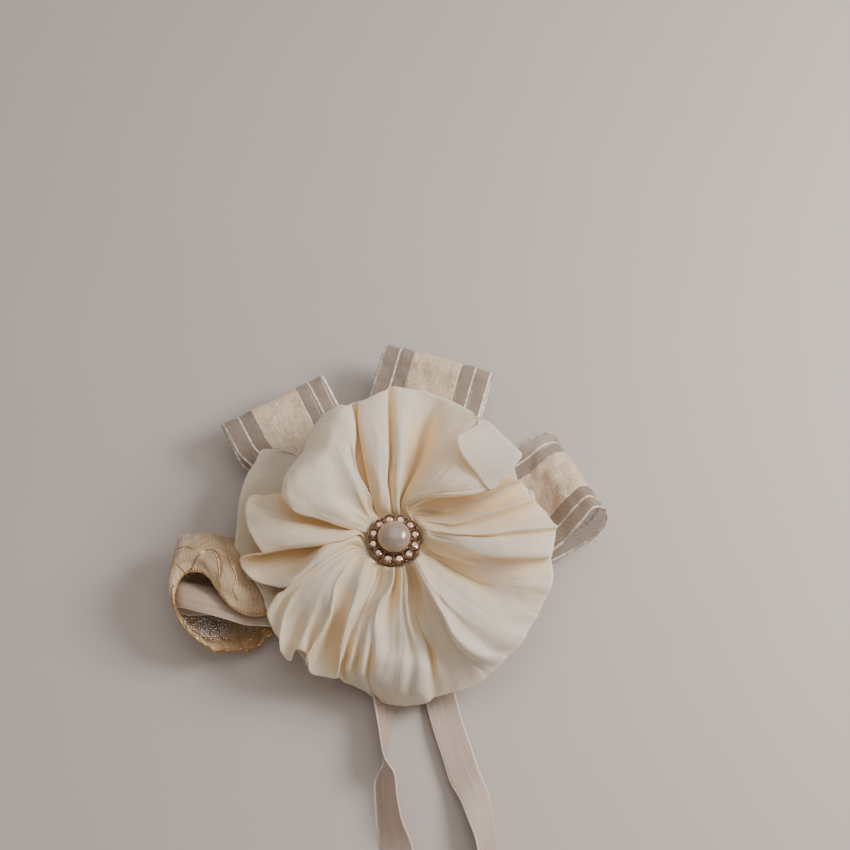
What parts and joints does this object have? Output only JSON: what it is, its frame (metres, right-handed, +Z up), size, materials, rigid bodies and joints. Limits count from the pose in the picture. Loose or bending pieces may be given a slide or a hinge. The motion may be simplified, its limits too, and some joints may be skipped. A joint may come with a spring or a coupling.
{
  "type": "wrist corsage",
  "caption": "Fabric wrist corsage: a gathered satin-chiffon bloom with a pearl brooch, sheer ribbon loops, a lace loop and two narrow ties on a felt backing.",
  "frame": {"origin": "centre of the felt backing's underside, on the surface that the corsage lies on", "axes": "+Z up out of the bloom, -Y toward the free ends of the two ties, +X toward the right ribbon loop"},
  "size_m": [0.0994, 0.2175, 0.0245],
  "materials": {
    "satin_cream": "soft satin-chiffon, matte with a slight sheen",
    "organza_ribbon": "sheer edges with satin stripes and a glossy satin band",
    "gold_lace": "open lace net with metallic gold and silver threads",
    "satin_ribbon": "fine satin weave",
    "felt": "matte felt",
    "antique_gold": "antique gold, darker in its recesses",
    "pearl_nacre": "pearl gloss",
    "rhinestone_glass": "faceted clear champagne glass"
  },
  "bodies": {
    "root": {"felt_backing": "felt", "ribbon_loop_left": "organza_ribbon", "ribbon_loop_top": "organza_ribbon", "ribbon_loop_right": "organza_ribbon", "lace_loop": "gold_lace", "satin_loop": "satin_ribbon", "tie_ribbon_left": "satin_ribbon", "tie_ribbon_right": "satin_ribbon", "bloom_lower_layer": "satin_cream", "bloom_upper_layer": "satin_cream", "brooch_setting": "antique_gold", "pearl": "pearl_nacre", "rhinestone_01": "rhinestone_glass", "rhinestone_02": "rhinestone_glass", "rhinestone_03": "rhinestone_glass", "rhinestone_04": "rhinestone_glass", "rhinestone_05": "rhinestone_glass", "rhinestone_06": "rhinestone_glass", "rhinestone_07": "rhinestone_glass", "rhinestone_08": "rhinestone_glass", "rhinestone_09": "rhinestone_glass", "rhinestone_10": "rhinestone_glass", "rhinestone_11": "rhinestone_glass", "rhinestone_12": "rhinestone_glass"}
  },
  "joints": []
}
